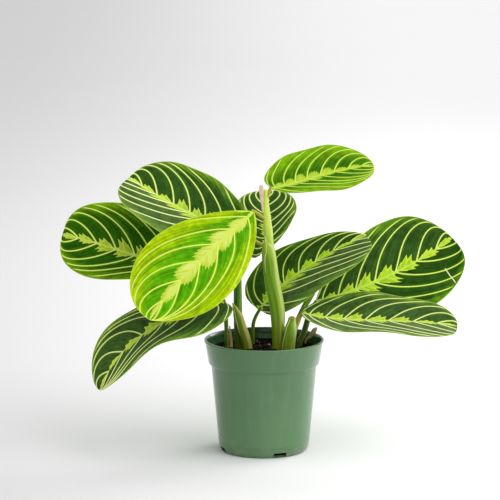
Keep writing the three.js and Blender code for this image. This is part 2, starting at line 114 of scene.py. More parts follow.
# A leaf as in the part: its midrib from base to tip, the way its upper face looks at base and tip, its
# halves, and the height, cycles and phase of its wave. veins is how many veins leave the midrib. scratch is a
# healed mark across the right half: its place along the midrib, and where it starts and ends on the way out.
Leaf = namedtuple("Leaf", "midrib face right left wave veins look scratch", defaults=[None])
LEAVES = {
    "leaf_front_lime": Leaf(
        midrib=((-9, -10, 208), (-39, -28, 182.5), (-71.5, -45, 153.5), (-95.5, -58, 124)),
        face=((0, -0.95, 0.32), (0.1, -1, 0.25)),
        right=Half(42.5, (0.9, 0.54), (-2, -20), 0, (0.5, 0.75, 3.5, 0.13), 0),
        left=Half(37.5, (0.78, 0.7), (-2, -14), 0, (0.5, 8, 6, 0.25), 0),
        wave=(1.5, 2, 0), veins=6.45, look="front_lime"),
    "leaf_far_left": Leaf(
        midrib=((-66, 8, 154), (-100.5, 16, 162), (-138, 28, 172), (-173.5, 40, 179)),
        face=((0, -0.8, 0.6), (0, -0.85, 0.5)),
        right=Half(43, (0.4, 0.35), (6, -4), 10, (0.4, 0.6, 3, 0.13), 0),
        left=Half(31, (1, 0.42), (2, -10), 3, (0.3, 0.6, 3, 0.13), 0),
        wave=(1.2, 2, 0.1), veins=7.45, look="deep"),
    "leaf_upper_left": Leaf(
        midrib=((-24, -2, 189), (-56.5, 6, 200.5), (-87, 14, 215.5), (-115, 24, 231.5)),
        face=((0, -0.65, 0.75), (0, -0.6, 0.8)),
        right=Half(40.5, (0.45, 0.46), (14, 8), 14, (0.3, 0.55, 3.4, 0.13), 0.04),
        left=Half(36.5, (0.3, 0.26), (12, 6), 8, (1.1, 0.6, 3, 0.13), 0.28),
        wave=(1.2, 2, 0.6), veins=7.45, look="grey"),
    "leaf_back": Leaf(
        midrib=((3, 12, 172), (2.5, 33, 186), (2.5, 56, 199), (3, 78, 211)),
        face=((0, -0.7, 0.7), (0, -0.5, 0.9)),
        right=Half(26, (0.9, 0.43), (8, 0), 8, (0.3, 0.5, 3, 0.13), 0.08),
        left=Half(31, (0.36, 0.46), (8, 0), 16, (0.3, 0.5, 3, 0.13), 0.06),
        wave=(1.2, 2, 0.3), veins=7.45, look="grey"),
    "leaf_upper_right_lime": Leaf(
        midrib=((5.5, -4, 226), (33.5, 2, 232.5), (63.5, 10, 239.5), (93, 18, 243)),
        face=((0, -0.5, 0.85), (0, -0.5, 0.85)),
        right=Half(28.5, (0.9, 0.52), (10, 6), 2.5, (0.45, 0.8, 3, 0.13), 0),
        left=Half(32.5, (0.42, 0.53), (12, 8), 6, (0.25, 0.28, 3, 0.13), 0),
        wave=(1.2, 2, 0.5), veins=8.45, look="upper_lime"),
    "leaf_centre_right": Leaf(
        midrib=((-4, 18.5, 117.3), (22, 24.5, 142.3), (56.5, 29.5, 165), (88, 34, 180)),
        face=((0, -0.55, 0.85), (0, -0.5, 0.85)),
        right=Half(38.5, (0.3, 0.21), (16, 10), 0, (0.7, 0.85, 2.7, 0.13), 0.26),
        left=Half(32, (0.34, 0.82), (12, 6), 0, (0.25, 0.3, 4, 0.13), 0.1),
        wave=(1.2, 2, 0.2), veins=7.45, look="fresh"),
    "leaf_large_right": Leaf(
        midrib=((44, 19, 124.5), (87, 33, 135.5), (130, 49, 153), (163, 62, 173)),
        face=((0, -0.9, 0.44), (0, -0.9, 0.44)),
        right=Half(43.5, (0.34, 0.32), (2, 0), 4, (0.45, 0.43, 2.2, 0.13), 0.02),
        left=Half(44.5, (0.85, 0.5), (8, 5), 4, (0.33, 0.55, 4, 0.15), 0.08),
        wave=(1.8, 2.5, 0.7), veins=7.45, look="fresh", scratch=(0.842, 0.5, 0.97)),
    "leaf_low_right": Leaf(
        midrib=((32.5, -2, 119), (72.5, -14, 115.5), (118.5, -24, 116), (163, -30, 113)),
        face=((0, -0.4, 0.9), (0, -0.4, 0.9)),
        right=Half(28, (0.45, 0.22), (12, 10), 0, (0.45, 0.6, 3, 0.13), 0.42),
        left=Half(32.5, (0.44, 0.53), (14, 8), 0, (0.24, 0.27, 4, 0.13), 0.16),
        wave=(2, 1.7, 0.3), veins=7.45, look="grey"),
    "leaf_low_left": Leaf(
        midrib=((-34, -10, 131), (-70, -20, 121), (-109, -32, 101), (-138.5, -43, 60.5)),
        face=((0, -0.5, 0.85), (-0.5, -0.5, 0.7)),
        right=Half(32.5, (0.46, 0.54), (10, 4), 12, (0.12, 0.5, 4, 0.13), 0.13),
        left=Half(34, (0.28, 0.6), (10, 6), 4, (0.42, 1.3, 3, 0.2), 0.16),
        wave=(4, 1.5, 0.1), veins=7.45, look="grey"),
}

# A kind of leaf: the colours of the zones between the veins near the rib and near the margin, of the veins,
# and of the darker and paler parts of the blotches beside the rib, where the outer zone starts and is full,
# the size of the blotches as a share of the half width, their outline, and the half width of a vein near the
# rib and near the margin.
LeafLook = namedtuple("LeafLook", "inner outer vein blotch pale outer_zone blotch_size outline vein_half")
LEAF_LOOKS = {
    "front_lime": LeafLook((84, 162, 0), (168, 200, 2), (226, 242, 104), (190, 214, 62), (222, 234, 118),
                           (0.34, 1), 0.31, "scallops", (0.62, 0.46)),
    "upper_lime": LeafLook((56, 112, 0), (122, 174, 2), (216, 240, 96), (166, 202, 38), (192, 220, 70),
                           (0.24, 1), 0.24, "scallops", (0.54, 0.4)),
    "deep": LeafLook((40, 92, 0), (112, 160, 0), (236, 252, 124), (160, 198, 36), (202, 224, 78),
                     (0.56, 1.06), 0.34, "teeth", (0.6, 0.44)),
    "grey": LeafLook((38, 78, 10), (106, 148, 20), (232, 250, 134), (166, 208, 34), (206, 230, 82),
                     (0.72, 1.04), 0.25, "teeth", (0.64, 0.48)),
    "fresh": LeafLook((32, 74, 0), (84, 132, 0), (226, 250, 104), (148, 200, 16), (200, 230, 64),
                      (0.72, 1.04), 0.3, "teeth", (0.6, 0.44)),
}
# Painted sheen: the grey laid over a half's zones by its share of sheen, and the paler veins under it
PAINTED_SHEEN_GREY = (134, 156, 96)
PAINTED_SHEEN_VEIN = (246, 254, 190)
SCRATCH = (238, 240, 190)

# The outlines of a blotch, as its height from one vein (0) to the next (1)
BLOTCH_OUTLINES = {
    "scallops": ((0, 0.42), (0.08, 0.52), (0.14, 0.84), (0.25, 0.82), (0.3, 1), (0.4, 0.8), (0.5, 0.98),
                 (0.57, 0.72), (0.68, 0.84), (0.76, 0.52), (0.86, 0.5), (0.92, 0.32), (1, 0.3)),
    "teeth": ((0, 0.14), (0.12, 0.16), (0.22, 0.56), (0.28, 0.54), (0.42, 1), (0.52, 0.6), (0.58, 0.62),
              (0.68, 0.84), (0.78, 0.3), (0.86, 0.16), (1, 0.12)),
}

# Each stem or dry scale as in the part, by its limbs. A limb has a kind and then stations: x, y, z, the half
# width across the view and the half depth.
STEMS = {
    "main_stem": (
        ("sheath", ((11, -6, 60, 4.4, 4), (11.5, -6, 90, 4.6, 4), (11.4, -6, 121, 6.2, 4.3),
                    (7, -6, 146, 6.6, 4.2), (4.4, -6, 166, 6.2, 3.8), (3.6, -6.2, 174, 5.6, 3.4),
                    (0.6, -7, 185, 0.8, 0.8))),
        ("stalk", ((7, -5.6, 150, 4.2, 3.2), (4.6, -5.4, 169, 4.4, 3.2), (3.6, -5, 187, 3.9, 3),
                   (2, -5, 204, 3.3, 2.6), (1.5, -4.6, 214, 2.5, 2.2), (1.4, -4.4, 224, 1.8, 1.8))),
        ("sheath", ((15.4, -7, 62, 2.2, 2.4), (15.8, -7, 90, 2.3, 2.6), (15, -7, 110, 2.3, 2.4),
                    (11.5, -6.6, 134, 0.7, 0.7))),
        ("joint", ((1.5, -5, 199.5, 1.6, 1.6), (-3.8, -6.8, 204, 1.9, 1.9), (-7.9, -8.8, 207.1, 1.4, 1.4))),
        ("joint", ((2, -5, 176, 1.7, 1.7), (-8, -4.2, 181.4, 1.7, 1.7), (-16, -3, 185.6, 1.7, 1.7),
                   (-23.4, -2.1, 188.3, 1.3, 1.3))),
        ("joint", ((1.6, -4.4, 217, 1.7, 1.7), (3.4, -4.2, 222, 1.7, 1.7), (4.6, -4, 225, 1.3, 1.3))),
        ("joint", ((4.8, -4, 158, 2, 2), (4.5, 3, 166, 1.9, 1.9), (3.7, 8, 170, 1.7, 1.7),
                   (3.1, 11, 171.4, 1.3, 1.3))),
    ),
    "left_shoot": (
        ("stalk", ((-21, -4, 60, 3.4, 3.2), (-22, -4, 90, 3.5, 3.2), (-22.3, -2, 120, 3.6, 3.2),
                   (-22.5, -0.5, 147, 3.4, 3))),
        ("old_sheath", ((-13, -9, 60, 4.4, 3.4), (-14.4, -9, 90, 4.4, 3.6), (-19.2, -8, 108, 4.1, 3.4),
                        (-22, -7.4, 117, 4, 3), (-24.4, -6.6, 123, 2.4, 2), (-26.4, -6, 127.5, 0.8, 0.8))),
        ("joint", ((-22.5, -0.8, 142, 2.8, 2.6), (-25, 1, 152, 2.4, 2.3), (-42, 6, 157, 1.8, 1.8),
                   (-65, 7.7, 153.8, 1.3, 1.3))),
    ),
    "petiole_low_left": (
        ("joint", ((-30.5, -8, 60, 1.9, 1.9), (-31.5, -8, 90, 1.9, 1.9), (-32.2, -8.4, 110, 1.8, 1.8),
                   (-32.6, -9, 123, 1.8, 1.8), (-33.6, -9.7, 129.4, 1.3, 1.3))),
    ),
    "petiole_centre_right": (
        ("joint", ((-10, 12, 60, 1.9, 1.9), (-10, 12, 90, 1.9, 1.9), (-9.2, 13.4, 105.5, 1.6, 1.6),
                   (-7, 16.6, 112, 1.5, 1.5), (-4.4, 18.2, 116.5, 1.3, 1.3))),
    ),
    "shoot_low_right": (
        ("sheath", ((19, -13, 60, 5.2, 4), (20.5, -13, 90, 5.6, 4.2), (22.6, -13, 106, 5.4, 4),
                    (23.8, -12.4, 115.5, 3.4, 2.6))),
        ("joint", ((23, -11, 98, 2.4, 2.4), (28, -7, 112, 2.6, 2.6), (31.4, -3.1, 117.1, 1.5, 1.5))),
    ),
    "rolled_leaf": (
        ("roll", ((20, -3, 60, 1.6, 1.6), (21, -3, 90, 1.6, 1.6), (24, -1, 103, 1.7, 1.7),
                  (28.6, 5, 112.4, 2, 1.8), (37.6, 13, 126.8, 2.8, 2), (48, 17, 139.4, 0.6, 0.6))),
    ),
    "petiole_large_right": (
        ("joint", ((27.5, 3, 60, 2.6, 2.6), (30, 3, 90, 2.6, 2.6), (34, 8, 99, 2.6, 2.6),
                   (38.2, 14, 112, 2.5, 2.5), (42.8, 18, 122.2, 1.4, 1.4))),
    ),
    "dry_bract_right": (
        ("scale", ((35.4, 15.5, 68, 0.8, 0.7), (35.8, 15.5, 90, 0.8, 0.7), (39.6, 16, 94.5, 1.7, 0.8),
                   (43, 16, 99.5, 2.2, 0.8), (45.4, 16, 102.4, 0.8, 0.6))),
    ),
    "dry_bract_left": (
        ("scale", ((-27.7, -3, 68, 1.2, 0.8), (-27.9, -3, 90, 1.4, 0.8), (-28.6, -3.5, 100, 1.3, 0.8),
                   (-29.4, -4, 108, 0.5, 0.5))),
    ),
    "dry_sheath_top": (
        ("scale", ((-1, -7.6, 206, 0.5, 0.5), (-1.4, -7.3, 211, 1, 0.6), (-2, -6.8, 218, 1.6, 0.6),
                   (-2.4, -6.5, 225, 2.1, 0.6), (-2.6, -6.4, 229.5, 1.7, 0.5))),
    ),
}
STEM_SIDES = 36
RINGS_PER_SPAN = 12
DOME_RINGS = 4
JOINT_REACH = 3.2  # how far a stalk runs on into the rib of its leaf
# How many flutes run along a limb of each kind, and their height as a share of its half width
FLUTES = {"sheath": (9, 0.02), "old_sheath": (11, 0.035), "stalk": (7, 0.012), "joint": (6, 0.015)}
KNEE_PLACE = 0.8  # where a joint swells as a share of its length, how far either way, and by how much
KNEE_REACH = 0.1
KNEE_SWELL = 0.09

# Raised pale edges: the stem, the limb's place in it, the share of a turn at the foot and at the tip, and the
# shares of the length where the edge starts and ends
SHEATH_LIPS = (
    ("main_stem", 0, 0.96, 0.86, 0.3, 0.97), ("main_stem", 0, 0.62, 0.74, 0.55, 0.97),
    ("main_stem", 2, 0.93, 0.8, 0.2, 0.95), ("main_stem", 2, 0.6, 0.7, 0.2, 0.95),
    ("left_shoot", 1, 0.97, 0.85, 0.25, 0.97), ("left_shoot", 1, 0.62, 0.7, 0.3, 0.97),
    ("shoot_low_right", 0, 0.56, 0.66, 0.25, 0.97), ("shoot_low_right", 0, 0.95, 0.86, 0.25, 0.97),
)
LIP_HALF_WIDTH = 0.35
LIP_HEIGHT = 0.3
LIP_SECTION = ((-1, -0.4), (-0.6, 0.6), (0, 1), (0.6, 0.6), (1, -0.4), (0, -0.8))

# The spiral of the rolled leaf and the strip of a dry scale
ROLL_START = -0.6
ROLL_TURNS = 1.45
ROLL_STEPS = 40
ROLL_WALL = 0.34
ROLL_NARROWING = 0.38
SCALE_COLUMNS = 14
SCALE_WIDENING = 1.05
SCALE_CURL = 0.5
SCALE_THICKNESS = 0.22

# Stem colours: fresh, shaded (also the painted shade streak), pale edge (also the painted highlight streak),
# towards the top, and at the foot
STEM_LOOKS = {
    "stem_fresh": ((138, 180, 30), (88, 132, 6), (218, 232, 140), (218, 242, 96), (126, 146, 22)),
    "stem_dark": ((80, 130, 10), (52, 98, 2), (134, 172, 50), (94, 140, 18), (60, 92, 8)),
    "stem_old_sheath": ((112, 156, 20), (78, 120, 6), (222, 200, 112), (150, 160, 44), (96, 110, 20)),
    "stem_joint": ((164, 164, 44), (126, 122, 20), (204, 204, 90), (164, 160, 48), (108, 112, 28)),
    "stem_young": ((130, 174, 40), (88, 136, 14), (210, 222, 134), (146, 184, 64), (88, 120, 24)),
    "stem_shoot": ((140, 186, 30), (84, 138, 6), (218, 232, 150), (218, 242, 96), (108, 150, 18)),
}
STEM_STAIN = (132, 92, 40)
WITHERED = "stem_shoot"
# Where round a stem its painted shade runs, a dark streak on the side turned from the light, and its painted
# highlight, a pale streak on the side towards it
SHADED_TURN = 0.66  # where round a stem its dark streak and its pale streak run
HIGHLIGHT_TURN = 0.88

# What the fine pot and soil add
POT_SIDES = 192
POT_LINE_HEIGHT = 9  # a faint raised line runs round here
SHARP_ANGLE = 50
SLOT_SLANT = 0.8
SOIL_RINGS = 60
SOIL_SIDES = 180
SOIL_WALL = ((46.8, 78), (44.6, 77.4), (43.6, 75), (36.9, 6), (35, 2.2))  # radius and height, downwards
SOIL_CRUMBS = ((1.3, 0.12, 3), (0.9, 0.35, 7), (0.45, 0.9, 11))  # height, frequency and layer of the noise

# Loose grains on the soil: their number, sizes and stretch, and their material's name, dark and light colour,
# roughness and noise scale
GRAINS = (
    ("soil_crumbs", 620, (0.6, 1.7), (0.9, 1.5), ("soil_crumb", (5, 4, 2), (28, 20, 11), 0.95, 1100)),
    ("bark_chips", 60, (1, 2), (1.6, 2.6), ("bark_chip", (40, 26, 17), (92, 66, 44), 0.85, 500)),
    ("perlite_grains", 34, (0.5, 1.2), (0.9, 1.2),
     ("perlite_grain", (196, 188, 172), (240, 236, 226), 0.9, 800)),
)
GRAIN_RISE = 0.2  # share of its size by which a grain's middle stands above the soil
FINE_GRAIN = 1.5  # grains no larger than this are made from a coarser ball

# The view: the camera's place and pitch fit the outline of the pot and the leaves in the photograph
CAMERA_PLACE = (-12, -2674, 654)
CAMERA_PITCH = 10.2
LENS = 230.4
SENSOR = 36

# The light and the floor
WORLD_STRENGTH = 0.64
SUN_FROM = (0.56, -0.34, 0.76)  # the soft light comes from the right, the front and above
SUN_ENERGY = 1.55
SUN_SPREAD = 60
PANEL_PLACE = (1100, 900, 700)  # a panel at the right behind lights the pot's right side and the floor
PANEL_SIZE = 1100
PANEL_POWER = 15
FLOOR_RADIUS = 14000
FLOOR_SIDES = 96
FLOOR_DROP = 0.2
# Painted light on the floor: darker to the left, as soft light from the right would leave it
FLOOR_PAINTED_LIGHT = (-0.5, 0.28, 0.63, 0.93)  # two places from left to right in metres, and the tone at each


def linear(colour):
    """A 0..255 display colour as the linear RGBA that a shader takes."""
    parts = [channel / 255 for channel in colour]
    return tuple(c / 12.92 if c <= 0.04045 else ((c + 0.055) / 1.055) ** 2.4 for c in parts) + (1,)


def smoothstep(low, high, value):
    share = np.clip((value - low) / (high - low), 0, 1)
    return share * share * (3 - 2 * share)


class Graph:
    """A material whose nodes are added and joined by one call each."""

    def __init__(self, name):
        self.material = bpy.data.materials.new(name)
        self.material.use_nodes = True
        self.nodes = self.material.node_tree.nodes
        self.links = self.material.node_tree.links
        self.shader = self.nodes["Principled BSDF"]

    def put(self, socket, value):
        """Joins a socket to another one, or sets it to a number or a colour."""
        if isinstance(value, bpy.types.NodeSocket):
            self.links.new(value, socket)
        else:
            socket.default_value = linear(value) if isinstance(value, tuple) else value

    def add(self, kind, inputs=(), **properties):
        node = self.nodes.new("ShaderNode" + kind)
        for key, value in properties.items():
            setattr(node, key, value)
        for key, value in dict(inputs).items():
            self.put(node.inputs[key], value)
        return node

    def math(self, operation, first, second=0.0, clamp=False):
        node = self.add("Math", {0: first, 1: second}, operation=operation, use_clamp=clamp)
        return node.outputs[0]

    def times(self, first, second):
        return self.math("MULTIPLY", first, second)

    def plus(self, first, second):
        return self.math("ADD", first, second)

    def stray(self, value, drift, reach):
        """The value, moved up or down by a drift in 0..1."""
        return self.plus(value, self.times(self.plus(drift, -0.5), reach))

    def split(self, vector):
        return self.add("SeparateXYZ", {0: vector}).outputs

    def attribute(self, name):
        return self.split(self.add("Attribute", attribute_name=name).outputs["Vector"])

    def vector(self, x, y, z):
        return self.add("CombineXYZ", {0: x, 1: y, 2: z}).outputs[0]

    def rise(self, low, high, value, start=0.0, end=1.0):
        """A smooth step from start to end while the value goes from low to high."""
        inputs = {0: value, 1: low, 2: high, 3: start, 4: end}
        node = self.add("MapRange", inputs, interpolation_type="SMOOTHSTEP")
        return node.outputs[0]

    def mix(self, share, first, second, blend="MIX"):
        node = self.add("Mix", {0: share, 6: first, 7: second}, data_type="RGBA", blend_type=blend)
        return node.outputs[2]

    def noise(self, vector, scale, detail, roughness=0.5):
        inputs = {"Vector": vector, "Scale": scale, "Detail": detail, "Roughness": roughness}
        return self.add("TexNoise", inputs).outputs["Fac"]

    def random(self, value):
        return self.add("TexWhiteNoise", {"W": value}, noise_dimensions="1D").outputs["Value"]

    def curve(self, value, points):
        """A line through the points (place, height), all in 0..1."""
        node = self.add("ValToRGB", {0: value})
        ramp = node.color_ramp
        while len(ramp.elements) < len(points):
            ramp.elements.new(0.5)
        for element, (place, height) in zip(ramp.elements, points):
            element.position = place
            element.color = (height, height, height, 1)
        return node.outputs[0]

    def object_place(self):
        return self.add("TexCoord").outputs["Object"]

    def bump(self, height, depth):
        """Relief from a height in 0..1, of a depth in millimetres."""
        node = self.add("Bump", {"Height": height, "Distance": depth * MM})
        self.put(self.shader.inputs["Normal"], node.outputs[0])

    def finish(self, colour, roughness, **fixed):
        self.put(self.shader.inputs["Base Color"], colour)
        self.put(self.shader.inputs["Roughness"], roughness)
        for key, value in fixed.items():
            self.shader.inputs[key.replace("_", " ")].default_value = value
        return self.material


def leaf_top_material(name, look, scratch):
    """Zones of green between pale veins, with jagged lime blotches beside the midrib."""
    g = Graph(name)
    number, reach, along = g.attribute("blade")
    spacing, off_rib, side = g.attribute("blade_size")
    haze, _, _ = g.attribute("blade_sheen")
    to_vein = g.times(g.math("PINGPONG", number, 0.5), spacing)
    tag = g.plus(g.math("FLOOR", number), g.times(side, 40))
    chance = g.random(tag)
    other_chance = g.random(g.plus(tag, 200))

    here = g.object_place()
    along_veins = g.vector(g.times(number, 9), g.times(reach, 2.2), g.plus(along, g.times(side, 7)))
    streaks = g.noise(along_veins, 1, 3)
    clouds = g.noise(here, 45, 3)
    patches = g.noise(here, 150, 4, 0.6)
    toward_margin = g.stray(g.stray(reach, clouds, 0.35), streaks, 0.3)
    zone = g.mix(g.rise(*look.outer_zone, toward_margin), look.inner, look.outer)
    zone = g.mix(g.rise(2.6, 0.3, to_vein, 0, 0.2), zone, look.outer)
    shade = g.times(g.rise(0.32, 0.68, streaks, 0.76, 1.24), g.rise(0.3, 0.7, patches, 0.8, 1.24))
    zone = g.mix(1, zone, g.vector(shade, shade, shade), "MULTIPLY")
    # Painted sheen: grey laid over the zones by the half's share of sheen, uneven with the streaks and
    # patches
    sheen_mottle = g.rise(0.25, 0.75, g.plus(g.times(streaks, 0.5), g.times(patches, 0.5)), 0.3, 1.5)
    zone = g.mix(g.times(haze, sheen_mottle), zone, PAINTED_SHEEN_GREY)

    outline_height = g.curve(g.stray(g.math("FRACT", number), chance, 0.14), BLOTCH_OUTLINES[look.outline])
    height = g.times(outline_height, g.rise(0, 1, other_chance, 0.78, 1.2))
    height = g.times(g.times(height, look.blotch_size), g.rise(0, 1, along, 1.1, 0.45))
    inside = g.math("SUBTRACT", height, g.stray(reach, g.noise(here, 200, 1), 0.03))
    edge, core = (look.blotch, look.pale) if look.outline == "scallops" else (look.pale, look.blotch)
    in_core = g.times(g.rise(0.02, 0.09, inside), g.rise(0.3, 0.65, streaks))
    colour = g.mix(g.rise(-0.006, 0.01, inside), zone, g.mix(in_core, edge, core))

    vein_half = g.rise(0, 1, reach, *look.vein_half)
    on_vein = g.rise(g.times(vein_half, 1.35), g.times(vein_half, 0.6), to_vein)
    on_vein = g.times(on_vein, g.rise(0.985, 0.9, reach))
    # The veins are paler under the painted sheen
    vein = g.mix(g.math("MULTIPLY", haze, 2, clamp=True), look.vein, PAINTED_SHEEN_VEIN)
    colour = g.mix(on_vein, colour, vein)
    rib_half = g.rise(0, 1, along, 1.2, 0.4)
    on_rib = g.rise(g.times(rib_half, 1.3), g.times(rib_half, 0.6), off_rib)
    colour = g.mix(on_rib, colour, g.mix(0.4, look.vein, look.blotch))
    # A thin pale line round the margin is painted light, standing in for light shining through the thin edge
    colour = g.mix(g.rise(0.975, 1, reach, 0, 0.5), colour, look.vein)

    if scratch:
        place, start, end = scratch
        off_line = g.math("ABSOLUTE", g.plus(along, g.stray(-place, patches, 0.012)))
        between = g.times(g.rise(start, start + 0.04, reach), g.rise(end, end - 0.04, reach))
        colour = g.mix(g.times(g.times(g.rise(0.004, 0.0015, off_line), between), side), colour, SCRATCH)
    fine = g.noise(here, 1500, 2)
    g.bump(g.plus(g.times(streaks, 0.7), g.times(fine, 0.3)), 0.2)
    return g.finish(colour, g.rise(0.3, 0.7, clouds, 0.4, 0.5), Specular_IOR_Level=0.05)


def leaf_under_material():
    """The pale silvery underside with its raised veins."""
    g = Graph("leaf_underside")
    number, reach, along = g.attribute("blade")
    spacing, off_rib, side = g.attribute("blade_size")
    to_vein = g.times(g.math("PINGPONG", number, 0.5), spacing)
    streaks = g.noise(g.vector(g.times(number, 9), g.times(reach, 2.2), g.plus(along, side)), 1, 3)
    zone = g.mix(g.rise(0.3, 0.7, streaks), (112, 146, 96), (134, 164, 116))
    zone = g.mix(g.rise(0.7, 1, reach, 0, 0.5), zone, (128, 168, 84))
    colour = g.mix(g.rise(1, 0.3, to_vein, 0, 0.75), zone, (168, 194, 128))
    colour = g.mix(g.rise(2, 1, off_rib), colour, (160, 190, 104))
    g.bump(g.plus(streaks, g.noise(g.object_place(), 1200, 2)), 0.15)
    return g.finish(colour, 0.55, Specular_IOR_Level=0.4, Sheen_Weight=0.3, Sheen_Roughness=0.5)


def stem_material(name, fresh, shade, edge, high, foot):
    """Smooth stalk with lengthwise streaks, pale towards its top and at its edges and darker at its foot,
    with a painted shade streak and a painted highlight streak.
    """
    g = Graph(name)
    along, turn, lip = g.attribute("limb")
    here = g.object_place()
    height = g.split(here)[2]
    streaks = g.noise(g.vector(g.times(turn, 26), g.times(along, 3), 0.5), 1, 3)
    clouds = g.noise(here, 60, 3)
    fibres = g.noise(g.vector(g.times(turn, 60), g.times(along, 6), 2.5), 1, 2)
    colour = g.mix(g.rise(0.3, 0.7, streaks), shade, fresh)
    colour = g.mix(g.rise(0.35, 0.75, clouds, 0, 0.4), colour, shade)
    # Painted shade: a dark streak down the side of the stem turned from the light
    off_shaded = g.math("ABSOLUTE", g.plus(turn, -SHADED_TURN))
    colour = g.mix(g.rise(0.12, 0.03, off_shaded, 0, 0.55), colour, shade)
    colour = g.mix(g.rise(0.16, 0.2, height, 0, 0.85), colour, high)
    # Painted highlight: a pale streak down the side of the stem towards the light, in the pale edge colour
    off_highlight = g.math("ABSOLUTE", g.plus(turn, g.stray(-HIGHLIGHT_TURN, clouds, 0.12)))
    colour = g.mix(g.rise(0.09, 0.02, off_highlight, 0, 0.6), colour, edge)
    colour = g.mix(g.rise(0.12, 0.088, g.stray(height, streaks, 0.04), 0, 0.7), colour, foot)
    colour = g.mix(g.times(g.rise(0.54, 0.66, fibres), g.rise(0.135, 0.09, height)), colour, STEM_STAIN)
    if name == WITHERED:
        colour = g.mix(g.times(g.rise(0.8, 1, g.stray(along, fibres, 0.3)), 0.7), colour, STEM_STAIN)
    colour = g.mix(lip, colour, edge)
    g.bump(streaks, 0.2)
    return g.finish(colour, g.rise(0.3, 0.7, clouds, 0.28, 0.4), Specular_IOR_Level=0.2)


def dry_material(name, pale, brown):
    """Papery matter with lengthwise fibres and brown stains."""
    g = Graph(name)
    along, turn, _ = g.attribute("limb")
    fibres = g.noise(g.vector(g.times(turn, 40), g.times(along, 5), 0.5), 1, 4)
    stains = g.noise(g.object_place(), 160, 3)
    colour = g.mix(g.rise(0.35, 0.65, fibres), brown, pale)
    colour = g.mix(g.rise(0.5, 0.75, stains, 0, 0.6), colour, brown)
    g.bump(fibres, 0.3)
    return g.finish(colour, 0.8, Specular_IOR_Level=0.25)


def pot_material():
    """Glossy moulded plastic with faint flow marks, handling wear, a little dust, and an inner wall darkened
    by painted shade with soil stains in it.
    """
    g = Graph("pot_plastic_satin")
    here = g.object_place()
    x, y, z = g.split(here)
    drag = g.noise(g.vector(g.times(x, 160), g.times(y, 160), g.times(z, 9)), 1, 2)
    colour = g.mix(g.rise(0.3, 0.7, g.noise(here, 14, 3)), (78, 118, 76), (86, 127, 84))
    colour = g.mix(g.rise(0.45, 0.8, drag, 0, 0.15), colour, (112, 150, 106))
    dust = g.times(g.rise(0.016, 0, z), g.rise(0.4, 0.7, g.noise(here, 120, 3)))
    colour = g.mix(g.times(dust, 0.35), colour, (150, 140, 118))
    facing = g.add("NewGeometry").outputs["Normal"]
    outward = g.add("VectorMath", {0: facing, 1: g.vector(x, y, 0)}, operation="DOT_PRODUCT").outputs["Value"]
    # The inward faces get painted shade, dark green mottled with soil stains
    shade_and_soil = g.mix(g.rise(0.4, 0.65, g.noise(here, 90, 4)), (26, 88, 14), (30, 58, 8))
    colour = g.mix(g.rise(-0.004, -0.03, outward), colour, shade_and_soil)
    scuffs = g.noise(here, 300, 4)
    g.bump(g.plus(g.times(drag, 0.6), g.times(scuffs, 0.4)), 0.05)
    return g.finish(colour, g.rise(0.3, 0.7, scuffs, 0.34, 0.42), Specular_IOR_Level=0.2,
                    Coat_Weight=0.7, Coat_Roughness=0.08)


def grain_material(name, dark, light, roughness, scale):
    """Crumbly matter in two colours."""
    g = Graph(name)
    grains = g.noise(g.object_place(), scale, 5, 0.7)
    g.bump(grains, 1.2)
    return g.finish(g.mix(g.rise(0.38, 0.66, grains), dark, light), roughness, Specular_IOR_Level=0.08)


def add_object(name, data):
    item = bpy.data.objects.new(name, data)
    bpy.context.scene.collection.objects.link(item)
    return item


def mesh_from(name, points, faces):
    """A mesh from points in millimetres."""
    mesh = bpy.data.meshes.new(name)
    mesh.from_pydata((np.asarray(points, float) * MM).tolist(), [], faces)
    return mesh


def circle(radius, sides, height):
    """Points round the pot's axis."""
    turns = 2 * np.pi * np.arange(sides) / sides
    return np.stack([radius * np.cos(turns), radius * np.sin(turns), np.full(sides, float(height))], axis=-1)


def mesh_piece(name, points, faces, materials, node=None, attributes=(), indices=None):
    """A smooth-shaded piece from points in millimetres that rides on the plant's one body."""
    mesh = mesh_from(name, points, faces)
    for key, values in dict(attributes).items():
        layer = mesh.attributes.new(key, "FLOAT_VECTOR", "POINT")
        layer.data.foreach_set("vector", np.asarray(values, np.float32).ravel())
    for material in materials:
        mesh.materials.append(material)
    mesh.polygons.foreach_set("use_smooth", [True] * len(mesh.polygons))
    if indices is not None:
        mesh.polygons.foreach_set("material_index", indices)
    weld(mesh)
    piece = add_object(name, mesh)
    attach(piece, "root")
    if node:
        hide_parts(node)
    return piece


def weld(mesh):
    """Joins points that fall together, so that no face is left without an area."""
    shape = bmesh.new()
    shape.from_mesh(mesh)
    bmesh.ops.remove_doubles(shape, verts=shape.verts, dist=0.002 * MM)
    bmesh.ops.dissolve_degenerate(shape, edges=shape.edges, dist=0.0005 * MM)
    shape.to_mesh(mesh)
    shape.free()
    mesh.update()


def unit(vectors):
    return vectors / np.maximum(np.linalg.norm(vectors, axis=-1, keepdims=True), 1e-12)


class Midrib:
    """A Bezier curve through four points at its start, thirds and end, walked by its length."""

    def __init__(self, stations):
        p0, p1, p2, p3 = np.array(stations, float)
        c1 = (-5 * p0 + 18 * p1 - 9 * p2 + 2 * p3) / 6
        c2 = (2 * p0 - 9 * p1 + 18 * p2 - 5 * p3) / 6
        u = np.linspace(0, 1, 401)[:, None]
        v = 1 - u
        self.points = v**3 * p0 + 3 * v**2 * u * c1 + 3 * v * u**2 * c2 + u**3 * p3
        self.slopes = unit(v**2 * (c1 - p0) + 2 * v * u * (c2 - c1) + u**2 * (p3 - c2))
        steps = np.linalg.norm(np.diff(self.points, axis=0), axis=1)
        self.shares = np.concatenate([[0], np.cumsum(steps)]) / steps.sum()

    def at(self, s, table):
        return np.stack([np.interp(s, self.shares, table[:, axis]) for axis in range(3)], axis=-1)


def outline(s, shape):
    base_end, tip_end = shape
    widest = base_end / (base_end + tip_end)
    return (s / widest) ** base_end * ((1 - s) / (1 - widest)) ** tip_end


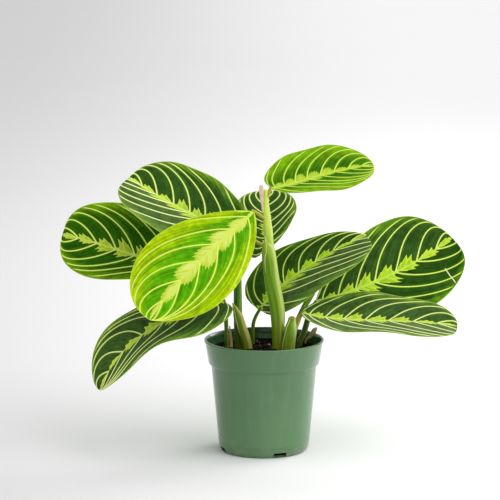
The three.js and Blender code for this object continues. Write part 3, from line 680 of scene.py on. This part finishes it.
def blade_points(leaf, s, t):
    """The blade's middle surface, the way that its upper face looks there, and the way off the rib.

    s is the share of the midrib, and t runs from -1 at the left margin to 1 at the right one.
    """
    rib = Midrib(leaf.midrib)
    centre = rib.at(s, rib.points)
    tangent = unit(rib.at(s, rib.slopes))
    base, tip = (unit(np.array(face, float)) for face in leaf.face)
    up = base + (tip - base) * s[..., None]
    up = unit(up - np.sum(up * tangent, axis=-1, keepdims=True) * tangent)
    across = np.cross(tangent, up)
    least = BASE_HALF_WIDTH + (TIP_HALF_WIDTH - BASE_HALF_WIDTH) * s

    def both(value):
        return np.where(t >= 0, value(leaf.right), value(leaf.left))

    half_width = both(lambda half: half.half_width)
    off_rib = np.abs(t) * np.maximum(half_width * both(lambda half: outline(s, half.shape)), least)
    fold_rib = both(lambda half: half.fold[0])
    fold_margin = both(lambda half: half.fold[1])
    slope = np.radians(fold_rib + (fold_margin - fold_rib) * off_rib / half_width / 2)
    height, cycles, phase = leaf.wave
    turn = 2 * np.pi * (cycles * s + phase) + np.where(t >= 0, 0, WAVE_OFFSET)
    ripple = height * t**2 * np.sin(turn) * np.sqrt(np.sin(np.pi * np.clip(s, 0, 1)).clip(0))
    shoulder = 1 - np.exp(-((off_rib / (LOBE_SHOULDER * half_width)) ** 2))
    back = both(lambda half: half.lobe) * shoulder * (1 - s) ** LOBE_FADE
    points = (centre + across * (np.sign(t) * off_rib * np.cos(slope))[..., None]
              + up * (off_rib * np.sin(slope) + ripple)[..., None] - tangent * back[..., None])
    facing = up * np.cos(slope)[..., None] - across * (np.sign(t) * np.sin(slope))[..., None]
    return points, facing, off_rib


def swept(place, column, sweeps):
    """Where along the midrib's length a row is that left it at place and has got as far out as column."""
    root = np.clip(place, 0, 0.9999)
    fan = FAN_REACH * (1 + np.minimum(place, 0))
    ways = []
    for lean, bend, power, growth in sweeps:
        lean_here = lean * (1 - (1 - root) ** LEAN_POWER)
        bend_here = bend * (1 - np.exp(-((root / growth) ** 2))) * (1 - root) + fan
        run = (lean_here * np.abs(column) + bend_here * np.abs(column) ** power) / (1 - root)
        ways.append(root + (1 - root) * run / (1 + run**TIP_SOFTNESS) ** (1 / TIP_SOFTNESS))
    return np.clip(np.where(column < 0, ways[1], ways[0]), 0, 1)


def vein_rows(leaf, sweeps):
    """The rows of the blade run along its veins. Gives each row's place on the midrib and its vein number."""
    places = np.concatenate([np.linspace(-1, 0, 200), np.linspace(0.001, 1, 1600)])
    first, second, third = VEIN_SPREAD
    grown = (first * places + second * places**2 + third * places**3) / sum(VEIN_SPREAD)
    numbers = 0.5 + np.where(places < 0, FAN_NUMBERS * places, leaf.veins * grown)
    lowest, highest = numbers[0], numbers[-1]
    rows = {lowest, highest}
    for whole in range(math.floor(lowest), math.ceil(highest)):
        rows.update(whole + part for part in ROWS_BETWEEN_VEINS)
    for margin in (1, -1):
        ends = swept(places, np.full(places.shape, margin), sweeps)
        count = math.ceil((ends[-1] - ends[0]) / MARGIN_STEP)
        rows.update(np.interp(np.linspace(ends[0], ends[-1], count + 1), ends, numbers).tolist())
    rows = np.array(sorted(row for row in rows if lowest <= row <= highest))
    rows = rows[np.concatenate([[True], np.diff(rows) > LEAST_STEP])]
    return np.interp(rows, numbers, places), rows


def vein_grid(leaf):
    """Each row sweeps from its place on the midrib towards the tip. The first rows fan out of the stalk."""
    sweeps = (leaf.right.sweep, leaf.left.sweep)
    places, numbers = vein_rows(leaf, sweeps)
    columns = np.concatenate([-COLUMNS[:0:-1], COLUMNS])
    place, column = np.meshgrid(places, columns, indexing="ij")
    number = np.repeat(numbers[:, None], len(columns), axis=1)
    s = swept(place, column, sweeps)
    reach = np.abs(column)
    wander = VEIN_WANDER * np.sin(2.3 * number + np.where(column < 0, 1.9, 0)) * reach * (1 - reach) * 4
    return np.clip(s + wander * s * (1 - s) * 4, 0, 1), column, number


def blade_normals(leaf, s, t):
    """The way that the blade's upper face looks at each point."""
    ahead, *_ = blade_points(leaf, np.clip(s + NORMAL_STEP, 0, 1), t)
    behind, *_ = blade_points(leaf, np.clip(s - NORMAL_STEP, 0, 1), t)
    side = np.where(t < 0, -1, 1)
    inside, *_ = blade_points(leaf, s, side * np.clip(np.abs(t) - NORMAL_STEP, 1e-4, 1))
    outside, *_ = blade_points(leaf, s, side * np.clip(np.abs(t) + NORMAL_STEP, 1e-4, 1))
    return unit(np.cross((outside - inside) * side[..., None], ahead - behind))


def slab_faces(rows, columns):
    """Faces and material numbers over a grid's upper points, under the lower ones, and round the margin."""
    faces, indices = [], []
    offset = rows * columns
    for i in range(rows - 1):
        for j in range(columns - 1):
            a = i * columns + j
            b, c, d = a + 1, a + columns, a + columns + 1
            faces.append((a, b, d, c))
            faces.append((offset + a, offset + c, offset + d, offset + b))
            indices += [0, 1]
    loop = list(range(columns))
    loop += [i * columns + columns - 1 for i in range(1, rows)]
    loop += [(rows - 1) * columns + j for j in range(columns - 2, -1, -1)]
    loop += [i * columns for i in range(rows - 2, 0, -1)]
    for a, b in zip(loop, loop[1:] + loop[:1]):
        faces.append((a, offset + a, offset + b, b))
        indices.append(0)
    return faces, indices


def blade_piece(name, leaf, under):
    """The fine blade: both faces quilted between the veins, a rib below, and a thin margin."""
    s, t, number = vein_grid(leaf)
    points, facing, off_rib = blade_points(leaf, s, t)
    normal = blade_normals(leaf, s, t)
    normal = np.where(np.sum(normal * facing, axis=-1, keepdims=True) > 0.3, normal, facing)
    down_rows = np.gradient(points, axis=0)
    sideways = unit(np.gradient(points, axis=1))
    gap = down_rows - np.sum(down_rows * sideways, axis=-1, keepdims=True) * sideways
    spacing = np.linalg.norm(gap, axis=-1) / np.gradient(number, axis=0)

    reach = np.abs(t)
    part = number - np.floor(number)
    to_vein = np.minimum(part, 1 - part) * spacing
    open_zone = smoothstep(0.02, 0.2, reach) * smoothstep(1, 0.8, reach)
    quilt = np.minimum(QUILT_SHARE * spacing, QUILT_LIMIT) * (np.sin(np.pi * part) ** 2 - 0.5) * open_zone
    vein = np.exp(-((to_vein / VEIN_HALF_WIDTH) ** 2))
    vein = vein * smoothstep(0.97, 0.8, reach) * smoothstep(1.5, 4, spacing)
    thick = HALF_THICKNESS + (MARGIN_HALF_THICKNESS - HALF_THICKNESS) * smoothstep(0.9, 1, reach)
    rib = np.sqrt(np.clip(1 - (off_rib / RIB_HALF_WIDTH) ** 2, 0, 1)) * RIB_DEPTH * (1 - RIB_TAPER * s)
    channel = RIB_CHANNEL * np.exp(-((off_rib / CHANNEL_HALF_WIDTH) ** 2)) * (1 - s)
    top = points + normal * (quilt + thick - VEIN_GROOVE * vein - channel)[..., None]
    below = points + normal * (quilt - thick - VEIN_RIDGE * vein - rib)[..., None]
    lowest, highest = (np.array(corner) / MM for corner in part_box(name))
    body = np.clip(np.concatenate([top.reshape(-1, 3), below.reshape(-1, 3)]), lowest, highest)

    # Each half's share of painted grey sheen
    haze = np.where(t >= 0, leaf.right.haze, leaf.left.haze)
    layers = {"blade": (number + 10, reach, s), "blade_size": (spacing, off_rib, (t >= 0).astype(float)),
              "blade_sheen": (haze, haze, haze)}
    attributes = {key: np.tile(np.stack(layer, axis=-1).reshape(-1, 3), (2, 1))
                  for key, layer in layers.items()}
    faces, indices = slab_faces(*s.shape)
    materials = [leaf_top_material(name + "_top", LEAF_LOOKS[leaf.look], leaf.scratch), under]
    return mesh_piece("fine_" + name, body, faces, materials, name, attributes, indices)


def make_leaves():
    under = leaf_under_material()
    for name, leaf in LEAVES.items():
        blade_piece(name, leaf, under)


def limb_rings(stations):
    """Centres, directions and half sizes along a limb, on a Catmull-Rom curve through its stations."""
    rows = np.array(stations, float)
    places = np.concatenate([[2 * rows[0] - rows[1]], rows, [2 * rows[-1] - rows[-2]]])[:, :3]
    centres, tangents, sizes = [], [], []
    spans = len(rows) - 1
    for k in range(spans * RINGS_PER_SPAN + 1):
        span = min(k // RINGS_PER_SPAN, spans - 1)
        u = k / RINGS_PER_SPAN - span
        before, start, end, after = places[span:span + 4]
        leave, arrive = (end - before) / 2, (after - start) / 2
        bend = 2 * start - 2 * end + leave + arrive
        lean = -3 * start + 3 * end - 2 * leave - arrive
        centres.append(((bend * u + lean) * u + leave) * u + start)
        tangents.append((3 * bend * u + 2 * lean) * u + leave)
        part = u * u * (3 - 2 * u)
        sizes.append(rows[span, 3:] + (rows[span + 1, 3:] - rows[span, 3:]) * part)
    along = unit(np.array(tangents))
    across = unit(np.cross((0, 1, 0), along))
    return np.array(centres), along, across, np.cross(along, across), np.array(sizes)


def limb_marks(along, turn, lip=0.0):
    """The limb attribute: the share of the length, the share of a turn, and 1 on a raised edge."""
    return np.stack(np.broadcast_arrays(along, turn, lip), axis=-1)


class Shape:
    """Points, faces, attributes and material indices gathered for one piece."""

    def __init__(self):
        self.points, self.faces, self.limb, self.indices = [], [], [], []

    def tube(self, rings, limb, material=0):
        """Closed skin over rings of points, each ring with as many points as the next."""
        offset = sum(len(block) for block in self.points)
        count, sides = len(rings), len(rings[0])
        self.points.append(np.reshape(rings, (-1, 3)))
        self.limb.append(np.reshape(limb, (-1, 3)))
        for k in range(count - 1):
            for n in range(sides):
                a, b = offset + k * sides + n, offset + k * sides + (n + 1) % sides
                self.faces.append((a, b, b + sides, a + sides))
        self.faces.append(tuple(offset + n for n in range(sides - 1, -1, -1)))
        self.faces.append(tuple(offset + (count - 1) * sides + n for n in range(sides)))
        self.indices += [material] * (len(self.faces) - len(self.indices))

    def piece(self, node, materials, slot):
        attributes = {"limb": np.concatenate(self.limb)}
        points = np.concatenate(self.points)
        return mesh_piece("fine_" + node, points, self.faces, materials, node, attributes, self.indices)


def round_end(centres, along, across, deep, sizes):
    """Adds a dome over the last ring, so that a tip isn't cut flat."""
    reach = min(sizes[-1])
    angles = [math.pi / 2 * k / DOME_RINGS for k in range(1, DOME_RINGS + 1)]
    more = np.array([centres[-1] + along[-1] * reach * math.sin(angle) for angle in angles])
    small = np.array([sizes[-1] * max(math.cos(angle), 0.04) for angle in angles])
    grown = [np.concatenate([axis, np.repeat(axis[-1:], DOME_RINGS, axis=0)])
             for axis in (along, across, deep)]
    return np.concatenate([centres, more]), *grown, np.concatenate([sizes, small])


def limb_surface(kind, stations):
    """Rings of an oval limb with the relief of its kind, and their place along and round it."""
    if kind == "joint":
        before, last = (np.array(station, float) for station in stations[-2:])
        reach = last[:3] + unit(last[:3] - before[:3]) * JOINT_REACH
        stations = (*stations, (*reach, last[3] * 0.6, last[4] * 0.5))
    centres, along, across, deep, sizes = round_end(*limb_rings(stations))
    turn = np.arange(STEM_SIDES) / STEM_SIDES
    angle = 2 * np.pi * turn
    flutes, height = FLUTES[kind]
    length = np.linspace(0, 1, len(centres))[:, None]
    relief = 1 + height * np.cos(flutes * angle + 3 * length)
    if kind == "joint":
        relief = relief + KNEE_SWELL * np.exp(-(((length - KNEE_PLACE) / KNEE_REACH) ** 2))
    wide = across[:, None] * (sizes[:, :1] * np.cos(angle) * relief)[..., None]
    thick = deep[:, None] * (sizes[:, 1:] * np.sin(angle) * relief)[..., None]
    return centres[:, None] + wide + thick, limb_marks(length, turn[None])


def sheath_lip(rings, start_turn, end_turn, start, end):
    """A thin raised edge that runs up a sheath's surface and turns round it a little."""
    count = len(rings)
    picked = range(int(start * (count - 1)), int(end * (count - 1)) + 1)
    middle = rings.mean(axis=1)
    result = []
    for order, k in enumerate(picked):
        part = order / max(len(picked) - 1, 1)
        place = (start_turn + (end_turn - start_turn) * part) % 1 * STEM_SIDES
        n = int(place)
        blend = place - n
        left, right = rings[k, n % STEM_SIDES], rings[k, (n + 1) % STEM_SIDES]
        on = left * (1 - blend) + right * blend
        out = unit(on - middle[k])
        side = unit(right - left)
        taper = math.sin(math.pi * min(max(part, 0.04), 0.96)) ** 0.3
        result.append([on + side * LIP_HALF_WIDTH * x * taper + out * LIP_HEIGHT * y * taper
                       for x, y in LIP_SECTION])
    return np.array(result)


def stem_piece(name, limbs, materials, slot):
    shape = Shape()
    for place, (kind, stations) in enumerate(limbs):
        rings, limb = limb_surface(kind, stations)
        material = {"old_sheath": 1, "joint": 2}.get(kind, 0)
        shape.tube(rings, limb, material)
        for stem, limb_place, *way in SHEATH_LIPS:
            if (stem, limb_place) == (name, place):
                lip = sheath_lip(rings, *way)
                along = np.linspace(0, 1, len(lip))[:, None]
                shape.tube(lip, limb_marks(along, np.zeros(len(LIP_SECTION)), 1.0), material)
    return shape.piece(name, materials, slot)


def roll_piece(name, stations, material):
    """A young leaf still rolled up: its section is a spiral of almost a turn and a half."""
    centres, along, across, deep, sizes = round_end(*limb_rings(stations))
    share = np.linspace(0, 1, ROLL_STEPS)
    there_and_back = np.concatenate([share, share[::-1]])
    lip = np.where(there_and_back < 0.03, 1.0, 0)
    angle = ROLL_START + 2 * np.pi * ROLL_TURNS * share
    rings, limb = [], []
    for k, (centre, size) in enumerate(zip(centres, sizes)):
        section = []
        for depth in (0, ROLL_WALL * min(1, size.min())):
            radius = np.maximum(size[:, None] * (1 - ROLL_NARROWING * share) - depth, 0.05)
            section.append(centre + across[k] * (radius[0] * np.cos(angle))[:, None]
                           + deep[k] * (radius[1] * np.sin(angle))[:, None])
        outside, inside = section
        rings.append(np.concatenate([outside, inside[::-1]]))
        limb.append(limb_marks(k / len(centres), there_and_back, lip))
    shape = Shape()
    shape.tube(np.array(rings), np.array(limb))
    return shape.piece(name, [material], "stem")


def scale_piece(name, stations, material):
    """A dry papery scale: a thin strip, curved across, with a torn edge."""
    centres, along, across, deep, sizes = limb_rings(stations)
    rng = random.Random(name)
    spread = np.linspace(-1, 1, SCALE_COLUMNS)
    there_and_back = np.concatenate([spread, spread[::-1]]) / 2 + 0.5
    tear = [rng.uniform(0.86, 1) for _ in centres]
    rings, limb = [], []
    for k, (centre, size) in enumerate(zip(centres, sizes)):
        x = spread * size[0] * SCALE_WIDENING * tear[k]
        y = -SCALE_CURL * size[1] * (1 - spread**2) + 0.3 * SCALE_CURL
        sheet = centre + across[k] * x[:, None] + deep[k] * y[:, None]
        rings.append(np.concatenate([sheet, sheet[::-1] + deep[k] * SCALE_THICKNESS]))
        limb.append(limb_marks(k / len(centres), there_and_back))
    shape = Shape()
    shape.tube(np.array(rings), np.array(limb))
    return shape.piece(name, [material], "dry_scale")


def make_stems():
    stems = {name: stem_material(name, *colours) for name, colours in STEM_LOOKS.items()}
    tan = dry_material("dry_tan", (238, 216, 172), (196, 154, 106))
    cream = dry_material("dry_cream", (242, 222, 196), (222, 188, 156))
    for name, limbs in STEMS.items():
        kind, stations = limbs[0]
        if kind == "scale":
            scale_piece(name, stations, cream if name == "dry_sheath_top" else tan)
        elif kind == "roll":
            roll_piece(name, stations, stems["stem_young"])
        else:
            look = {"main_stem": "stem_fresh", "shoot_low_right": "stem_shoot"}.get(name, "stem_dark")
            joint, slot = ("stem_dark", "dark_stem") if look == "stem_dark" else ("stem_joint", "stem")
            stem_piece(name, limbs, [stems[look], stems["stem_old_sheath"], stems[joint]], slot)


def pot_profile():
    """From the middle of the underside out, up to the lip, and down the inside to the middle of the floor."""
    base, body, rim, lip, top = POT_BASE_RADIUS, POT_BODY_RADIUS, POT_RIM_RADIUS, POT_LIP_RADIUS, POT_HEIGHT
    step = top - RIM_BAND_HEIGHT
    foot_in, foot_up = FOOT_CHAMFER
    lean = (body - base) / (step - foot_up)
    line = POT_LINE_HEIGHT
    at_line = base + lean * (line - foot_up)
    inner_step = body - POT_WALL + RIM_STEP
    return [
        (0, 0.5), (base - foot_in - 4, 0.5), (base - foot_in - 3, 0),
        (base - foot_in - 0.4, 0), (base - foot_in + 0.1, 0.4),
        (base - 0.2, foot_up - 0.4), (base + 0.05, foot_up + 0.4),
        (at_line - 0.05, line - 0.4), (at_line + 0.22, line), (at_line + 0.22, line + 0.5),
        (at_line + 0.1, line + 1),
        (body - 0.1, step - 1.2), (body + 0.1, step - 0.5), (body + 0.5, step),
        (body + RIM_STEP - 0.5, step + 0.5), (body + RIM_STEP, step + 1.1),
        (rim, top - 3), (rim + 0.15, top - 2.4), (lip - 0.1, top - 1.9), (lip, top - 1.4),
        (lip, top - 0.5), (lip - 0.5, top), (rim - POT_WALL + 0.5, top), (rim - POT_WALL, top - 0.5),
        (rim - POT_WALL - 0.1, top - 4), (inner_step, step + 2.2), (inner_step - 0.5, step + 1.6),
        (body - POT_WALL, step + 0.5),
        (base - POT_WALL, foot_up + POT_WALL), (base - POT_WALL - foot_in, POT_FLOOR), (0, POT_FLOOR),
    ]


def lathe(name, first, rings, last, material, node, downward=False):
    """A closed piece from a height on the axis over rings, upwards or downwards, to the axis again."""
    sides = len(rings[0])
    points = np.concatenate([[(0, 0, first)], *rings, [(0, 0, last)]])
    faces = []
    for n in range(sides):
        following = (n + 1) % sides
        faces.append((0, 1 + following, 1 + n))
        for k in range(len(rings) - 1):
            a, b = 1 + k * sides + n, 1 + k * sides + following
            faces.append((a, b, b + sides, a + sides))
        foot = 1 + (len(rings) - 1) * sides
        faces.append((len(points) - 1, foot + n, foot + following))
    if downward:
        faces = [(corner, *others[::-1]) for corner, *others in faces]
    return mesh_piece(name, points, faces, [material], node)


def cut(piece, cutters):
    """Takes the cutters out of the piece and deletes them."""
    for cutter in cutters:
        modifier = piece.modifiers.new("cut", "BOOLEAN")
        modifier.operation = "DIFFERENCE"
        modifier.solver = "EXACT"
        modifier.object = cutter
    bpy.context.view_layer.update()
    evaluated = piece.evaluated_get(bpy.context.evaluated_depsgraph_get())
    mesh = bpy.data.meshes.new_from_object(evaluated)
    piece.modifiers.clear()
    piece.data = mesh
    for cutter in cutters:
        bpy.data.objects.remove(cutter)


def drain_cutter(turn):
    """A slot with slanted ends through the foot of the wall."""
    along, through, high = DRAIN_HOLE_SIZE
    x0, x1 = POT_BASE_RADIUS - through / 2, POT_BASE_RADIUS + through / 2
    z0, z1 = DRAIN_HOLE_FOOT, DRAIN_HOLE_FOOT + high
    ends = ((-along / 2 + SLOT_SLANT, z1), (-along / 2, z0), (along / 2, z0), (along / 2 - SLOT_SLANT, z1))
    c, s = math.cos(turn), math.sin(turn)
    points = [(x * c - y * s, x * s + y * c, z) for x in (x0, x1) for y, z in ends]
    faces = [(3, 2, 1, 0), (4, 5, 6, 7), (1, 5, 4, 0), (2, 6, 5, 1), (3, 7, 6, 2), (0, 4, 7, 3)]
    return add_object("drain_cutter", mesh_from("drain_cutter", points, faces))


def make_pot():
    (_, first), *wall, (_, last) = pot_profile()
    rings = [circle(radius, POT_SIDES, height) for radius, height in wall]
    pot = lathe("fine_pot", first, rings, last, pot_material(), "pot")
    turns = [math.radians(DRAIN_HOLE_ANGLE - 90 + 360 * k / DRAIN_HOLES) for k in range(DRAIN_HOLES)]
    cut(pot, [drain_cutter(turn) for turn in turns])
    for polygon in pot.data.polygons:
        polygon.use_smooth = True
    pot.data.set_sharp_from_angle(angle=math.radians(SHARP_ANGLE))


def soil_height(x, y):
    """The mound of the part with crumbs of three sizes on it."""
    mound = SOIL_MOUND * (1 - (math.hypot(x, y) / SOIL_RADIUS) ** 2)
    crumbs = [height * noise.noise(Vector((x * often, y * often, layer)))
              for height, often, layer in SOIL_CRUMBS]
    return SOIL_LEVEL + mound + sum(crumbs)


def make_soil():
    rings = [circle(SOIL_RADIUS * k / SOIL_RINGS, SOIL_SIDES, 0) for k in range(1, SOIL_RINGS + 1)]
    for ring in rings:
        ring[:, 2] = [soil_height(x, y) for x, y, _ in ring]
    rings += [circle(radius, SOIL_SIDES, height) for radius, height in SOIL_WALL]
    material = grain_material("soil_mix", (3, 2, 1), (16, 11, 5), 0.95, 900)
    _, underside = SOIL_WALL[-1]
    lathe("fine_soil", soil_height(0, 0), rings, underside, material, "soil", downward=True)


def scatter(name, count, sizes, stretch, material, seed):
    """Grains on the soil, each a small ball pushed out of round, fused in one mesh."""
    rng = random.Random(seed)
    ball = bmesh.new()
    bmesh.ops.create_icosphere(ball, subdivisions=2 if sizes[1] > FINE_GRAIN else 1, radius=1)
    corners = np.array([tuple(v.co) for v in ball.verts])
    ball_faces = [[v.index for v in face.verts] for face in ball.faces]
    ball.free()
    points, faces = [], []
    for _ in range(count):
        size = rng.uniform(*sizes)
        radius = (SOIL_RADIUS - 1 - 1.6 * size * stretch[1]) * math.sqrt(rng.random())
        turn = rng.uniform(0, 2 * math.pi)
        x, y = radius * math.cos(turn), radius * math.sin(turn)
        shape = np.array([rng.uniform(*stretch), rng.uniform(0.6, 1), rng.uniform(0.45, 0.9)]) * size
        rough = np.array([1 + 0.55 * noise.noise(Vector(tuple(corner * 1.3 + rng.random() * 0.02)) * 1.5
                                                 + Vector((x, y, size))) for corner in corners])
        spin, tilt = rng.uniform(0, 2 * math.pi), rng.uniform(-0.5, 0.5)
        grain = corners * rough[:, None] * shape
        c, s = math.cos(tilt), math.sin(tilt)
        grain = grain @ np.array([[c, 0, s], [0, 1, 0], [-s, 0, c]]).T
        c, s = math.cos(spin), math.sin(spin)
        grain = grain @ np.array([[c, -s, 0], [s, c, 0], [0, 0, 1]]).T
        offset = len(points) * len(corners)
        points.append(grain + (x, y, soil_height(x, y) + size * GRAIN_RISE))
        faces += [tuple(offset + n for n in face) for face in ball_faces]
    mesh_piece(name, np.concatenate(points), faces, [material])


def make_grains():
    materials = [grain_material(*look) for *_, look in GRAINS]
    for number, (name, count, sizes, stretch, _) in enumerate(GRAINS):
        scatter(name, count, sizes, stretch, materials[number], SEED + 1 + number)


def make_floor():
    """A large pale disc with painted light: darker to the left, as soft light from the right would leave it.
    """
    g = Graph("studio_floor")
    here = g.object_place()
    low, high, dim, bright = FLOOR_PAINTED_LIGHT
    # Painted light: the floor's tone falls towards the left
    tone = g.rise(low, high, g.split(here)[0], dim, bright)
    shade = g.times(tone, g.rise(0, 1, g.noise(here, 3, 3), 0.99, 1.01))
    material = g.finish(g.vector(shade, shade, shade), 0.7, Specular_IOR_Level=0.1)
    mesh = mesh_from("floor", circle(FLOOR_RADIUS, FLOOR_SIDES, -FLOOR_DROP), [tuple(range(FLOOR_SIDES))])
    mesh.materials.append(material)
    floor = add_object("floor", mesh)


def add_lamp(name, kind, place, energy, **settings):
    """A light that shines from its place towards the middle of the pot's base."""
    light = bpy.data.lights.new(name, kind)
    light.energy = energy
    for key, value in settings.items():
        setattr(light, key, value)
    lamp = add_object(name, light)
    lamp.location = Vector(place) * MM
    lamp.rotation_euler = (-Vector(place)).to_track_quat("-Z", "Y").to_euler()


def make_light():
    world = bpy.data.worlds.new("studio")
    world.use_nodes = True
    background = world.node_tree.nodes["Background"]
    background.inputs["Color"].default_value = linear((255, 255, 255))
    background.inputs["Strength"].default_value = WORLD_STRENGTH
    bpy.context.scene.world = world
    add_lamp("softbox", "SUN", SUN_FROM, SUN_ENERGY, angle=math.radians(SUN_SPREAD))
    add_lamp("side_panel", "AREA", PANEL_PLACE, PANEL_POWER, shape="DISK", size=PANEL_SIZE * MM)


def make_camera():
    lens = bpy.data.cameras.new("view")
    lens.lens = LENS
    lens.sensor_width = SENSOR
    lens.clip_end = 100
    camera = add_object("view", lens)
    camera.location = [place * MM for place in CAMERA_PLACE]
    camera.rotation_euler = (math.radians(90 - CAMERA_PITCH), 0, 0)
    bpy.context.scene.camera = camera


make_camera()
make_light()
make_floor()
make_pot()
make_soil()
make_grains()
make_leaves()
make_stems()
bpy.context.scene.view_settings.view_transform = "Standard"
